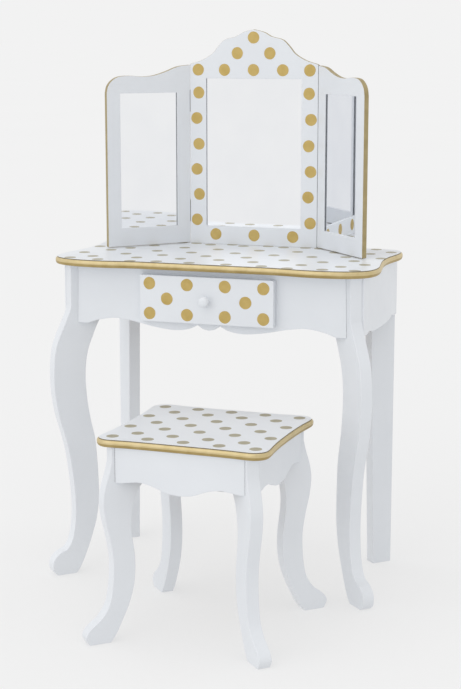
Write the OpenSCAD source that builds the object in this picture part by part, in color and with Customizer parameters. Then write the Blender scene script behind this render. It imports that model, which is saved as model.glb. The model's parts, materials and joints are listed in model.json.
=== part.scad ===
// Child-size dressing table set: a table with one drawer and a three-panel folding mirror,
// and a matching stool. +Z is up, the front of the table faces -Y, and the origin lies on
// the floor at the centre of the set's footprint.

/* [Table] */
// Height of the table's top surface above the floor
table_h = 602; // [560:1:640]
// Width between the inner faces of the side aprons
box_w = 533; // [510:1:560]
// Depth between the inner faces of the front and rear aprons
box_d = 248; // [240:1:270]
// Thickness of the aprons and the drawer front
board_t = 15; // [14:0.5:16]
// Thickness of the table's top and the stool's seat
top_t = 13; // [12:0.5:16]
// Thickness of the table's legs
leg_t = 23; // [20:0.5:25]
// How far the top of each front leg leans toward the middle of the front
leg_lean = 10; // [0:0.5:10]
// How far the top's widest part stands out past the side aprons' inner faces
top_side_reach = 35; // [34:0.5:42]
// How far the top's rear edge stands out past the rear apron's inner face
top_rear_reach = 22; // [19:0.5:30]
// How far the top's front lobes stand out past the front apron's inner face
top_front_reach = 50.5; // [48:0.5:56]

/* [Mirror] */
// Width of the centre panel
panel_w = 253; // [240:1:270]
// Height of the centre panel's peak above the table's top surface
panel_h = 406; // [400:1:420]
// Thickness of the mirror frames
frame_t = 9; // [9:0.5:12]
// Width of each wing
wing_w = 173; // [165:1:190]
// Angle at which each wing stands forward
wing_fold = 46.5; // [40:0.5:50]
// Thickness of the mirror glass
glass_t = 3; // [2:0.5:3]

/* [Drawer] */
// Width of the drawer front
drawer_w = 250; // [244:1:256]
// Height of the drawer front
drawer_h = 84; // [82:1:86]
// Depth of the drawer box behind its front
drawer_d = 220; // [180:1:224]
// Thickness of the drawer's sides, inner front and back
drawer_t = 9; // [8:0.5:10]

/* [Stool] */
// Height of the stool's seat above the floor
stool_h = 349; // [330:1:370]
// Width and depth between the inner faces of the stool's aprons
stool_box = 242; // [236:1:246]
// Thickness of the stool's legs
stool_leg_t = 23; // [20:0.5:25]
// Thickness of the stool's aprons
stool_apron_t = 9; // [8:0.5:10]
// Distance of the stool's centre to the right of the table's centre
stool_x = 59.5; // [40:0.5:60]
// Distance of the stool's centre in front of the table's centre
stool_gap = 315; // [310:0.5:330]
// How far the stool is turned as it stands, seen from above
stool_turn = -1.6; // [-3:0.1:3]

/* [Hidden] */
$fn = 48;

// Paint and metal colours
white = [0.93, 0.94, 0.95];
gold = [0.78, 0.69, 0.47];
silver = [0.80, 0.84, 0.88];
steel = [0.62, 0.63, 0.65];
brass = [0.76, 0.62, 0.32];
hardboard = [0.45, 0.32, 0.20];
plywood = [0.80, 0.68, 0.50];

// Gaps: round a fastener, between a panel and its groove, between pieces that move
fit_gap = 0.05;
panel_gap = 0.2;
run_gap = 0.3;
// Straight pieces that make up each stretch of a smooth curve
curve_steps = 5;

// Wood screw
screw_r = 1.4;
screw_head_r = 2.8;
screw_head_h = 1.2;
slot_w = 0.6;
slot_l = 3.2;
slot_deep = 0.7;
// Furniture bolt with a cylinder head, and the barrel nut that it threads into
bolt_r = 3;
bolt_head_r = 5.5;
bolt_head_h = 4;
bolt_key_r = 2.3;
nut_r = 5;
nut_l = 15;
// How far the bolt reaches into the leg, and how deep in it the nut sits
bolt_grip = 18;
nut_depth = 11;

// Half sizes of the table's and the stool's apron boxes, and the heights of their top edges
box_x = box_w / 2;
box_y = box_d / 2;
under_top = table_h - top_t;
stool_half = stool_box / 2;
stool_under = stool_h - top_t;
// Distance of the rear apron's ends from the box's corners, and reach of a mitre's cut
leg_cut = leg_t / sqrt(2);
mitre_reach = 60;

// Corner blocks: height, thickness, and how far each stands from the box's corner
block_h = 60;
stool_block_h = 52;
block_t = 18;
front_ear = 63;
rear_ear = 46;
stool_ear = 50;
// How far a rear leg's foot reaches in, and the leg out, from the box's corner
rear_foot_ear = 32;
rear_leg_reach = 7;
// Heights of the bolts that hold the legs to the blocks
table_bolt_z = [under_top - 45, under_top - 17];
stool_bolt_z = [stool_under - 42, stool_under - 16];
// Screws up through a block: distance from its ends, and bite in the board above
block_screw_in = 10;
block_screw_bite = 9;

// Smooth curve through a list of knots, with its slope set by each knot's neighbours
function slope(a, b, c) = (c - a) / (norm(b - a) + norm(c - b));
function blend(b, c, mb, mc, t) =
    let (l = norm(c - b), t2 = t * t, t3 = t2 * t)
    (2 * t3 - 3 * t2 + 1) * b + (t3 - 2 * t2 + t) * l * mb
    + (3 * t2 - 2 * t3) * c + (t3 - t2) * l * mc;
function smooth(k) =
    let (last = len(k) - 1)
    concat(
        [for (i = [0 : last - 1], s = [0 : curve_steps - 1])
            let (
                mb = slope(k[max(i - 1, 0)], k[i], k[i + 1]),
                mc = slope(k[i], k[i + 1], k[min(i + 2, last)])
            )
            blend(k[i], k[i + 1], mb, mc, s / curve_steps)],
        [k[last]]
    );
// The same points on the other side of the middle, in the opposite order
function other_side(p) = [for (i = [len(p) - 1 : -1 : 0]) [-p[i][0], p[i][1]]];
// Knots drawn for one height, moved to another
function raised(k, from, to) = [for (p = k) [p[0], p[1] * to / from]];
function moved(k, dx, dy) = [for (p = k) [p[0] + dx, p[1] + dy]];

// Right half of the table top's outline, as distances in from its widest side and its
// front and rear edges: a lobed front corner, a waisted side and a flared rear corner
top_half = box_x + top_side_reach;
top_rear = box_y + top_rear_reach;
top_front = box_y + top_front_reach;
front_corner = [
    [-178, 9.5], [-151, 6], [-121, 1], [-88, 0], [-58, 3], [-29, 13], [-9, 30], [-1, 52],
    [0, 79], [-5, 111], [-12, 153], [-14.5, 187]
];
rear_corner = [[-13.5, -108], [-10, -82], [-7, -60], [-7, -40], [-12, -20], [-24, -7], [-45, 0]];
function top_outline() =
    let (right = smooth(concat(
        moved(front_corner, top_half, -top_front),
        moved(rear_corner, top_half, top_rear))))
    concat(right, other_side(right));

// Outline of a front leg, out from the corner of the apron box and up from the floor,
// drawn for an apron top edge at this height
leg_knot_h = 589;
leg_outer = [
    [14.5, 512], [18.5, 499], [28, 477], [38, 455], [45, 434], [48.5, 405], [49, 377], [47, 345],
    [40.5, 308], [30.5, 273], [21.5, 237], [14.5, 190], [11, 155], [10, 125], [11.5, 96],
    [15.5, 73], [19.5, 61], [27, 50], [43, 42], [53.5, 31], [56.5, 20], [54, 8], [46, 0]
];
leg_inner = [
    [10, 0], [3.5, 7], [-3, 19], [-8, 30], [-17, 53], [-25, 77], [-32, 102], [-37, 138],
    [-37, 168], [-35, 212], [-30.5, 259], [-22.5, 295], [-16.5, 330], [-13, 370], [-14, 403],
    [-19.5, 432], [-28.5, 455], [-35.5, 472], [-44, 486], [-63, 497]
];
function front_leg_outline() = concat(
    [[leg_outer[0][0], under_top]],
    smooth(raised(leg_outer, leg_knot_h, under_top)),
    smooth(raised(leg_inner, leg_knot_h, under_top)),
    [[-front_ear, under_top]]);

// Outline of a stool leg, out from the corner of the stool's apron box, drawn the same way
stool_knot_h = 336;
stool_outer = [
    [6, 310], [11, 290], [18, 267], [21.5, 243], [18.5, 213], [11, 180], [5.5, 145],
    [5.5, 115], [8.5, 86], [14.5, 62], [27.5, 43], [42.5, 31], [51.5, 22], [54.5, 12], [48.5, 0]
];
stool_inner = [
    [11, 0], [0.5, 15], [-8.5, 33], [-18.5, 54], [-26.5, 76], [-32, 100], [-34, 128],
    [-32.5, 155], [-29, 180], [-27.5, 200], [-29, 222], [-34, 244], [-42, 262], [-stool_ear, 270]
];
function stool_leg_outline() = concat(
    [[stool_outer[0][0], stool_under]],
    smooth(raised(stool_outer, stool_knot_h, stool_under)),
    smooth(raised(stool_inner, stool_knot_h, stool_under)),
    [[-stool_ear, stool_under]]);

// Footprint of the set, from the stool's front toes to the top's rear edge
stool_toe = max([for (p = stool_leg_outline()) p[0]]);
stool_toe_y = stool_half + (stool_toe + stool_leg_t / 2) / sqrt(2);
stool_toe_x = stool_half + (stool_toe - stool_leg_t / 2) / sqrt(2);
stool_reach = stool_toe_y * cos(stool_turn) + stool_toe_x * abs(sin(stool_turn));
table_y = (stool_gap + stool_reach - top_rear) / 2;
stool_y = table_y - stool_gap;

// Lower edge of the front apron, from near its end to its middle: a long arch and half of a
// hanging lobe, drawn for this half width and this height of the table
apron_knot_x = 266.5;
apron_knot_h = 602;
apron_arch = [
    [234, 481], [212, 488.5], [180, 493.5], [147, 490], [104, 481.5], [65, 477.5],
    [38, 481], [21, 489]
];
apron_lobe = [[21, 489], [11, 482.5], [0, 480]];
// Lower edge of a side apron, from near its end to its middle
side_knot_x = 131.5;
side_edge = [[104, 484], [87, 487], [60, 482], [0, 480]];
rear_apron_low = table_h - 120;
// Lower edge of a stool apron, from near its end, for this half width and stool height
stool_apron_knot_x = 121;
stool_apron_knot_h = 349;
stool_edge = [
    [104, 275], [90, 277], [74, 279], [58, 277.5], [42, 273], [23, 266], [0, 263]
];
// Quarter of the seat's outline: straight front and rear edges, waisted sides
seat_knot_half = 121;
seat_quarter = [
    [0, 136], [45, 136], [90, 137], [114, 139], [130, 138.5], [142, 132], [149, 121],
    [150, 106], [147.5, 78], [145.5, 42], [145, 0]
];

// Mirror: planes, hinge axis, openings and rabbets
mirror_front = box_y - 6;
mirror_rear = mirror_front + frame_t;
wing_lift = 1.5;
stop_gap = 0.3;
edge_gap = (frame_t * sin(wing_fold) + stop_gap) / (1 + cos(wing_fold));
hinge_x = panel_w / 2 + edge_gap;
opening_x = panel_w / 2 - 32.5;
opening_low = 35;
opening_high = 315;
wing_open_low = 35 - wing_lift;
wing_open_high = 287;
wing_open_in = 27.5;
wing_open_out = wing_w - 27.5;
rabbet = 6;
rabbet_deep = 6;
// Right half of the centre panel's crown, from its peak down to its shoulder, drawn for
// this width and this height of the peak
crown_w = 253;
crown_h = 406;
shoulder_drop = 1.5;
crown = [
    [0, 406], [20, 401], [35, 393], [57, 387], [70, 375], [82, 361], [103, 349], [124, 342.5]
];
// Top edge of a wing, from its hinge side to its rounded outer corner, for this width
wing_knot_w = 173;
wing_top = [
    [0, 340], [25, 337], [50, 328], [75, 321], [99, 319], [126, 321], [149, 319],
    [162, 312], [170, 302], [173, 290]
];

// Hinge leaf: reach from the axis, height, thickness, knuckle and pin
leaf_w = 22;
leaf_h = 40;
leaf_t = 1.2;
knuckle_r = 2.4;
knuckle_h = 12.9;
knuckle_step = 13.4;
pin_r = 1;
pin_bore_r = pin_r + fit_gap;
pin_head_r = 1.7;
pin_head_h = 0.8;
hinge_heights = [62, 272];
leaf_screw_x = 14;
leaf_screw_z = 12;
frame_screw_l = 8;

// Angle brackets that hold the mirror on the top
bracket_w = 24;
bracket_h = 26;
bracket_d = 15;
bracket_t = 1.5;
bracket_xs = [-80, 0, 80];
bracket_screw_z = [9, 19];
bracket_screw_y = 9;
top_screw_l = 11;
// Clips that hold the backings in
clip_from_corner = 90;
clip_w = 9;
clip_l = 16;
clip_t = 1;

// Drawer, its opening and its runners
drawer_z = table_h - 108;
open_x = drawer_w / 2 - 10;
open_low = drawer_z + 8;
open_high = drawer_z + drawer_h - 6;
box_side_x = open_x - 4;
box_low = open_low + 4;
box_high = open_high - 6;
box_front_y = -box_y - board_t - run_gap;
groove_z = box_low + 4;
groove_deep = 4;
bottom_t = 3;
runner_w = 18;
runner_ledge = 13;
runner_h = 44;
runner_base = 10;
runner_gap = 0.5;
runner_screw_l = 38;
runner_screw_x = 10;
runner_screw_z = 17;
corner_screw_l = 26;
corner_screw_z = [box_low + 18, box_high - 12];
panel_screw_l = 20;
panel_screw_x = 70;
knob_z = drawer_z + drawer_h / 2;
knob_bolt_r = 2;
knob_bolt_l = 32;
knob_bolt_head_r = 4;
knob_bolt_head_h = 2.2;

module wood_screw(length) {
    difference() {
        union() {
            translate([0, 0, -length]) cylinder(h = length, r = screw_r);
            translate([0, 0, -screw_head_h])
                cylinder(h = screw_head_h, r1 = screw_r, r2 = screw_head_r);
        }
        for (a = [0, 90]) rotate([0, 0, a])
            translate([-slot_l / 2, -slot_w / 2, -slot_deep]) cube([slot_l, slot_w, 1]);
    }
}

module screw_hole(length) {
    translate([0, 0, -length - fit_gap]) cylinder(h = length + 1, r = screw_r + fit_gap);
    translate([0, 0, -screw_head_h])
        cylinder(h = screw_head_h, r1 = screw_r + fit_gap, r2 = screw_head_r + fit_gap);
    translate([0, 0, -fit_gap]) cylinder(h = 1, r = screw_head_r + fit_gap);
}

// One fastener, or the hole that takes it
module screw_or_hole(length, hole) {
    if (hole) screw_hole(length);
    else wood_screw(length);
}

// Board cut from an outline in X and Z, its front face at the origin
module upright_board(outline, thickness) {
    translate([0, thickness, 0]) rotate([90, 0, 0])
        linear_extrude(height = thickness) polygon(outline);
}

module at_table() { translate([0, table_y, 0]) children(); }
module at_stool() {
    translate([stool_x, stool_y, 0]) rotate([0, 0, stool_turn]) children();
}

// Places that a piece takes at one corner: out along the diagonal is local +X
module at_corner(half_x, half_y, side_x, side_y) {
    translate([side_x * half_x, side_y * half_y, 0])
        rotate([0, 0, side_x > 0 ? side_y * 45 : side_y * 135])
            children();
}
module table_corner(side_x, side_y) {
    at_table() at_corner(box_x, box_y, side_x, side_y) children();
}
module stool_corner(side_x, side_y) {
    at_stool() at_corner(stool_half, stool_half, side_x, side_y) children();
}

// Slab across the diagonal, from one local Y to another at the floor. Its lean is how far
// it has moved in Y by the height top_z.
module leaning_slab(low_y, high_y, top_z, lean) {
    rotate([90, 0, 90]) linear_extrude(height = 300, center = true) polygon([
        for (z = [-10, top_z + 10]) [low_y + lean * z / top_z, z],
        for (z = [top_z + 10, -10]) [high_y + lean * z / top_z, z]
    ]);
}
// Space to cut from the end of an apron that lies on one side of a leg, local +Y or -Y
module mitre_cut(side, thickness, top_z, lean = 0) {
    leaning_slab(side * (thickness / 2 + fit_gap), -side * mitre_reach, top_z, lean);
}
// Leg board in the diagonal plane, bored for its bolts and their barrel nuts
module leg_board(outline, thickness, ear, top_z, heights, lean = 0) {
    difference() {
        intersection() {
            translate([0, -2 * thickness, 0]) upright_board(outline, 4 * thickness);
            leaning_slab(-thickness / 2, thickness / 2, top_z, lean);
        }
        for (z = heights) translate([-ear, lean * z / top_z, z]) {
            translate([-1, 0, 0]) rotate([0, 90, 0])
                cylinder(h = bolt_grip + 2, r = bolt_r + fit_gap);
            translate([nut_depth, nut_l / 2 + fit_gap, 0]) rotate([90, 0, 0])
                cylinder(h = nut_l / 2 + thickness, r = nut_r + fit_gap);
        }
    }
}

// Block across a corner, its ends flat against the two aprons
module corner_block(ear, height, top_z, heights, lean = 0) {
    difference() {
        translate([0, 0, top_z - height]) linear_extrude(height = height)
            polygon([[-ear, ear], [-ear, -ear], [-ear - block_t, -ear - block_t],
                [-ear - block_t, ear + block_t]]);
        for (z = heights)
            translate([-ear - block_t - 1, lean * z / top_z, z]) rotate([0, 90, 0])
                cylinder(h = block_t + 2, r = bolt_r + fit_gap);
        block_screws(ear, height, top_z, true);
    }
}
// Two screws up through each block into the board above
module block_screws(ear, height, top_z, hole) {
    for (y = [-1, 1])
        translate([-ear - block_t / 2, y * (ear - block_screw_in), top_z - height]) rotate([180, 0, 0])
            screw_or_hole(height + block_screw_bite, hole);
}
module leg_bolt(ear) {
    translate([-ear - block_t - bolt_head_h, 0, 0]) rotate([0, 90, 0]) difference() {
        union() {
            cylinder(h = bolt_head_h, r = bolt_head_r);
            cylinder(h = bolt_head_h + block_t + bolt_grip, r = bolt_r);
        }
        translate([0, 0, -1]) cylinder(h = bolt_head_h, r = bolt_key_r, $fn = 6);
    }
}
module barrel_nut(ear) {
    translate([-ear + nut_depth, 0, 0]) difference() {
        rotate([90, 0, 0]) translate([0, 0, -nut_l / 2]) cylinder(h = nut_l, r = nut_r);
        translate([-nut_r - 1, 0, 0]) rotate([0, 90, 0])
            cylinder(h = 2 * nut_r + 2, r = bolt_r + fit_gap);
    }
}

// ---- Table ----

module table_top() {
    color(white) at_table() difference() {
        translate([0, 0, under_top]) linear_extrude(height = top_t) polygon(top_outline());
        translate([0, -table_y, 0]) {
            table_block_screws(true);
            at_table() bracket_top_screws(true);
        }
    }
}

// Knots of a lower edge, fitted to a half width and moved with the board's height
function fitted(k, half, drawn_half, lift) =
    [for (p = k) [p[0] * half / drawn_half, p[1] + lift]];
// Board with a straight top edge and the same lower edge on both sides of its middle, which
// runs on level to the board's ends
function apron_outline(half, top_z, lower) =
    let (right = concat([[half, top_z], [half, lower[0][1]]], lower))
    concat(right, other_side(right));

function front_apron_outline() =
    let (half = box_x, lift = table_h - apron_knot_h)
    apron_outline(half, under_top, concat(
        smooth(fitted(apron_arch, half, apron_knot_x, lift)),
        smooth(fitted(apron_lobe, half, apron_knot_x, lift))));

module front_apron() {
    color(white) at_table() difference() {
        translate([0, -box_y - board_t, 0]) upright_board(front_apron_outline(), board_t);
        translate([-open_x, -box_y - board_t - 1, open_low])
            cube([2 * open_x, board_t + 2, open_high - open_low]);
        for (x = [-1, 1]) at_corner(box_x, box_y, x, -1)
            mitre_cut(-x, leg_t, under_top, -x * leg_lean);
        runner_screw_set(true);
    }
}

function side_apron_outline() =
    let (half = box_y + board_t / 2)
    apron_outline(half, under_top,
        smooth(fitted(side_edge, half, side_knot_x, table_h - apron_knot_h)));

module side_apron(side) {
    color(white) at_table() difference() {
        translate([side * (box_x + board_t / 2), 0, 0]) rotate([0, 0, 90])
            translate([0, -board_t / 2, 0]) upright_board(side_apron_outline(), board_t);
        for (y = [-1, 1]) at_corner(box_x, box_y, side, y)
            mitre_cut(-side * y, leg_t, under_top, y < 0 ? -side * leg_lean : 0);
    }
}
module left_apron() { side_apron(-1); }
module right_apron() { side_apron(1); }

module rear_apron() {
    color(white) at_table() difference() {
        translate([-(box_x - leg_cut), box_y, rear_apron_low])
            cube([2 * (box_x - leg_cut), board_t, under_top - rear_apron_low]);
        runner_screw_set(true);
    }
}

module front_leg(side) {
    color(white) table_corner(side, -1) leg_board(front_leg_outline(), leg_t, front_ear,
        under_top, table_bolt_z, -side * leg_lean);
}
module front_left_leg() { front_leg(-1); }
module front_right_leg() { front_leg(1); }

// A rear leg tapers on its inner side, from below its block down to the floor
rear_leg_outline = [
    [-rear_foot_ear, 0], [rear_leg_reach, 0], [rear_leg_reach, under_top],
    [-rear_ear, under_top], [-rear_ear, under_top - block_h]
];
module rear_leg(side) {
    color(white) table_corner(side, 1)
        leg_board(rear_leg_outline, leg_t, rear_ear, under_top, table_bolt_z);
}
module rear_left_leg() { rear_leg(-1); }
module rear_right_leg() { rear_leg(1); }

module corner_blocks() {
    color(plywood) for (x = [-1, 1]) {
        table_corner(x, -1)
            corner_block(front_ear, block_h, under_top, table_bolt_z, -x * leg_lean);
        table_corner(x, 1) corner_block(rear_ear, block_h, under_top, table_bolt_z);
    }
}
module table_block_screws(hole) {
    for (x = [-1, 1]) {
        table_corner(x, -1) block_screws(front_ear, block_h, under_top, hole);
        table_corner(x, 1) block_screws(rear_ear, block_h, under_top, hole);
    }
}
module top_screws() { color(steel) table_block_screws(false); }
// Places of a front leg's two bolts, which follow its lean
module at_front_bolts(side) {
    for (z = table_bolt_z)
        table_corner(side, -1) translate([0, -side * leg_lean * z / under_top, z]) children();
}
module at_rear_bolts(side) {
    for (z = table_bolt_z) table_corner(side, 1) translate([0, 0, z]) children();
}
module leg_bolts() {
    color(steel) for (x = [-1, 1]) {
        at_front_bolts(x) leg_bolt(front_ear);
        at_rear_bolts(x) leg_bolt(rear_ear);
    }
}
module leg_barrel_nuts() {
    color(steel) for (x = [-1, 1]) {
        at_front_bolts(x) barrel_nut(front_ear);
        at_rear_bolts(x) barrel_nut(rear_ear);
    }
}

// Runner: a ledge that carries the drawer side and a guide beside it
module runner(side) {
    guide_x = box_side_x + runner_gap;
    ledge_top = box_low - run_gap;
    color(plywood) at_table() difference() {
        union() {
            translate([side > 0 ? guide_x : -guide_x - runner_w, -box_y, ledge_top - runner_base])
                cube([runner_w, box_d, runner_h]);
            translate([side > 0 ? guide_x - runner_ledge : -guide_x, -box_y,
                ledge_top - runner_base])
                cube([runner_ledge, box_d, runner_base]);
        }
        runner_screw_set(true);
    }
}
module left_runner() { runner(-1); }
module right_runner() { runner(1); }

// Screws through the front and rear aprons into the runners' ends
module runner_screw_set(hole) {
    for (x = [-1, 1], y = [-1, 1])
        translate([x * (box_side_x + runner_screw_x), y * (box_y + board_t),
            box_low + runner_screw_z])
            rotate([-y * 90, 0, 0]) screw_or_hole(runner_screw_l, hole);
}
module runner_screws() { color(steel) at_table() runner_screw_set(false); }

// ---- Drawer ----

module drawer_front() {
    color(white) at_table() difference() {
        translate([-drawer_w / 2, box_front_y - board_t, drawer_z])
            cube([drawer_w, board_t, drawer_h]);
        drawer_panel_screws(true);
        knob_bolt_hole();
    }
}

// Groove that runs round the inside of the drawer box and takes its bottom
module drawer_groove() {
    translate([-box_side_x + drawer_t - groove_deep, box_front_y + drawer_t - groove_deep,
        groove_z])
        cube([2 * (box_side_x - drawer_t + groove_deep),
            drawer_d - 2 * drawer_t + 2 * groove_deep, bottom_t]);
}
module drawer_side(side) {
    color(plywood) at_table() difference() {
        translate([side > 0 ? box_side_x - drawer_t : -box_side_x, box_front_y, box_low])
            cube([drawer_t, drawer_d, box_high - box_low]);
        drawer_groove();
        drawer_corner_screws(true);
    }
}
module drawer_left_side() { drawer_side(-1); }
module drawer_right_side() { drawer_side(1); }

module drawer_end(y) {
    translate([-box_side_x + drawer_t, y, box_low])
        cube([2 * (box_side_x - drawer_t), drawer_t, box_high - box_low]);
}
module drawer_inner_front() {
    color(plywood) at_table() difference() {
        drawer_end(box_front_y);
        drawer_groove();
        drawer_corner_screws(true);
        drawer_panel_screws(true);
        knob_bolt_hole();
    }
}
module drawer_back() {
    color(plywood) at_table() difference() {
        drawer_end(box_front_y + drawer_d - drawer_t);
        drawer_groove();
        drawer_corner_screws(true);
    }
}
module drawer_bottom() {
    slack = groove_deep - panel_gap;
    color(hardboard) at_table()
        translate([-box_side_x + drawer_t - slack, box_front_y + drawer_t - slack,
            groove_z + fit_gap])
            cube([2 * (box_side_x - drawer_t + slack), drawer_d - 2 * drawer_t + 2 * slack,
                bottom_t - 2 * fit_gap]);
}
module drawer_corner_screws(hole) {
    for (x = [-1, 1], y = [drawer_t / 2, drawer_d - drawer_t / 2], z = corner_screw_z)
        translate([x * box_side_x, box_front_y + y, z]) rotate([0, x * 90, 0])
            screw_or_hole(corner_screw_l, hole);
}
module drawer_panel_screws(hole) {
    for (x = [-panel_screw_x, panel_screw_x])
        translate([x, box_front_y + drawer_t, knob_z]) rotate([-90, 0, 0])
            screw_or_hole(panel_screw_l, hole);
}
module drawer_screws() {
    color(steel) at_table() {
        drawer_corner_screws(false);
        drawer_panel_screws(false);
    }
}

// Places of the knob's bolt, which runs from inside the box into the knob
module at_knob_bolt() {
    translate([0, box_front_y + drawer_t, knob_z]) rotate([90, 0, 0]) children();
}
module knob_bolt_hole() {
    at_knob_bolt() translate([0, 0, -1])
        cylinder(h = knob_bolt_l + 1 + fit_gap, r = knob_bolt_r + fit_gap);
}
module drawer_knob_bolt() {
    color(steel) at_table() at_knob_bolt() {
        cylinder(h = knob_bolt_l, r = knob_bolt_r);
        translate([0, 0, -knob_bolt_head_h]) cylinder(h = knob_bolt_head_h, r = knob_bolt_head_r);
    }
}

// Turned knob: a flared foot, a neck and a rounded head
knob_profile = [
    [6.5, 0], [5.4, 1.5], [4.8, 4], [5.4, 6.5], [8.2, 8.6], [9.5, 11.6], [8.4, 15],
    [5, 17], [0, 17.6]
];
module drawer_knob() {
    color(white) at_table() difference() {
        translate([0, box_front_y - board_t, knob_z]) rotate([90, 0, 0])
            rotate_extrude() polygon(concat([[0, 0]], smooth(knob_profile)));
        knob_bolt_hole();
    }
}

// ---- Mirror ----

module at_mirror() { at_table() translate([0, mirror_front, table_h]) children(); }
// The wing's own place: hinge axis at the origin, rear face on Y = 0, running out along +X
module at_wing(side) {
    if (side > 0) at_table() translate([hinge_x, mirror_rear, table_h])
        rotate([0, 0, -wing_fold]) children();
    else mirror([1, 0, 0]) at_wing(1) children();
}

function centre_outline() =
    let (
        right = smooth(fitted(crown, panel_w, crown_w, panel_h - crown_h)),
        last = len(right) - 1,
        shoulder = [panel_w / 2, right[last][1] - shoulder_drop]
    )
    concat([[-panel_w / 2, 0], [panel_w / 2, 0], shoulder],
        [for (i = [last : -1 : 0]) right[i]],
        [for (i = [1 : last]) [-right[i][0], right[i][1]]],
        [[-shoulder[0], shoulder[1]]]);

// Opening through a frame with its rear rabbet, between two corners of the opening
module frame_opening(x0, x1, z0, z1) {
    translate([x0, -1, z0]) cube([x1 - x0, frame_t + 2, z1 - z0]);
    translate([x0 - rabbet, frame_t - rabbet_deep, z0 - rabbet])
        cube([x1 - x0 + 2 * rabbet, rabbet_deep + 1, z1 - z0 + 2 * rabbet]);
}
// Sheet that lies in the rabbet, from one depth to another
module rabbet_sheet(x0, x1, z0, z1, y, thickness) {
    edge = rabbet - panel_gap;
    translate([x0 - edge, y, z0 - edge])
        cube([x1 - x0 + 2 * edge, thickness, z1 - z0 + 2 * edge]);
}
// Clips at the four corners of a rabbet, flat on the rear face, or their screws
module clip_places(x0, x1, z0, z1) {
    for (z = [z0 + clip_from_corner, z1 - clip_from_corner]) {
        translate([x0 - rabbet, frame_t, z]) children();
        translate([x1 + rabbet, frame_t, z]) rotate([0, 180, 0]) children();
    }
}
module clip() {
    difference() {
        translate([-clip_l / 2, 0, -clip_w / 2]) cube([clip_l, clip_t, clip_w]);
        translate([-clip_l / 4, clip_t, 0]) rotate([-90, 0, 0]) screw_hole(frame_screw_l);
    }
}
module clip_screws(x0, x1, z0, z1, hole) {
    clip_places(x0, x1, z0, z1) translate([-clip_l / 4, clip_t, 0]) rotate([-90, 0, 0])
        screw_or_hole(frame_screw_l, hole);
}

module centre_frame() {
    color(white) difference() {
        at_mirror() difference() {
            upright_board(centre_outline(), frame_t);
            frame_opening(-opening_x, opening_x, opening_low, opening_high);
        }
        centre_fasteners(true);
    }
}
module centre_glass() {
    color(silver) at_mirror()
        rabbet_sheet(-opening_x, opening_x, opening_low, opening_high,
            frame_t - rabbet_deep, glass_t);
}
module centre_backing() {
    color(hardboard) at_mirror()
        rabbet_sheet(-opening_x, opening_x, opening_low, opening_high,
            frame_t - rabbet_deep + glass_t, rabbet_deep - glass_t);
}
module centre_clips() {
    color(steel) at_mirror() clip_places(-opening_x, opening_x, opening_low, opening_high) clip();
}

// Angle bracket on the rear face: one leaf up the frame, one back along the top
module bracket() {
    difference() {
        union() {
            translate([-bracket_w / 2, 0, 0]) cube([bracket_w, bracket_t, bracket_h]);
            translate([-bracket_w / 2, 0, 0]) cube([bracket_w, bracket_d, bracket_t]);
        }
        for (z = bracket_screw_z) translate([0, bracket_t, z]) rotate([-90, 0, 0])
            screw_hole(frame_screw_l);
        translate([0, bracket_screw_y, bracket_t]) screw_hole(top_screw_l);
    }
}
module mirror_brackets() {
    color(steel) at_mirror() for (x = bracket_xs) translate([x, frame_t, 0]) bracket();
}
module bracket_top_screws(hole) {
    for (x = bracket_xs)
        translate([x, mirror_rear + bracket_screw_y, table_h + bracket_t])
            screw_or_hole(top_screw_l, hole);
}
// Screws of the fixed hinge leaves, the clips and the brackets' upright leaves
module centre_fasteners(hole) {
    at_mirror() {
        for (x = bracket_xs, z = bracket_screw_z)
            translate([x, frame_t + bracket_t, z]) rotate([-90, 0, 0])
                screw_or_hole(frame_screw_l, hole);
        clip_screws(-opening_x, opening_x, opening_low, opening_high, hole);
        for (x = [-1, 1], h = hinge_heights, z = [-leaf_screw_z, leaf_screw_z])
            translate([x * (hinge_x - leaf_screw_x), frame_t + leaf_t, h + z])
                rotate([-90, 0, 0]) screw_or_hole(frame_screw_l, hole);
    }
}
module mirror_screws() {
    color(steel) {
        centre_fasteners(false);
        at_table() bracket_top_screws(false);
    }
}

// Hinge leaf running from the axis along +X, with knuckles at the given steps
module hinge_leaf(own, others) {
    difference() {
        union() {
            translate([0, 0, -leaf_h / 2]) cube([leaf_w, leaf_t, leaf_h]);
            for (k = own) translate([0, 0, k * knuckle_step - knuckle_h / 2])
                cylinder(h = knuckle_h, r = knuckle_r);
        }
        for (k = others)
            translate([0, 0, k * knuckle_step - knuckle_step + knuckle_h / 2])
                cylinder(h = 2 * knuckle_step - knuckle_h, r = knuckle_r + run_gap);
        translate([0, 0, -leaf_h]) cylinder(h = 2 * leaf_h, r = pin_bore_r);
        for (z = [-leaf_screw_z, leaf_screw_z])
            translate([leaf_screw_x, leaf_t, z]) rotate([-90, 0, 0]) screw_hole(frame_screw_l);
    }
}
module at_hinges() { for (h = hinge_heights) translate([0, 0, h]) children(); }

module fixed_hinge_leaves() {
    color(brass) at_table() for (x = [0, 1]) mirror([x, 0, 0])
        translate([hinge_x, mirror_rear, table_h]) at_hinges()
            mirror([1, 0, 0]) hinge_leaf([-1, 1], [0]);
}
module hinge_pins() {
    pin_l = leaf_h + 2 * fit_gap;
    color(brass) at_table() for (x = [-1, 1])
        translate([x * hinge_x, mirror_rear, table_h]) at_hinges() {
            cylinder(h = pin_l + 2 * pin_head_h, r = pin_r, center = true);
            for (z = [-1, 1]) translate([0, 0, z * (pin_l + pin_head_h) / 2])
                cylinder(h = pin_head_h, r = pin_head_r, center = true);
        }
}

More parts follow.
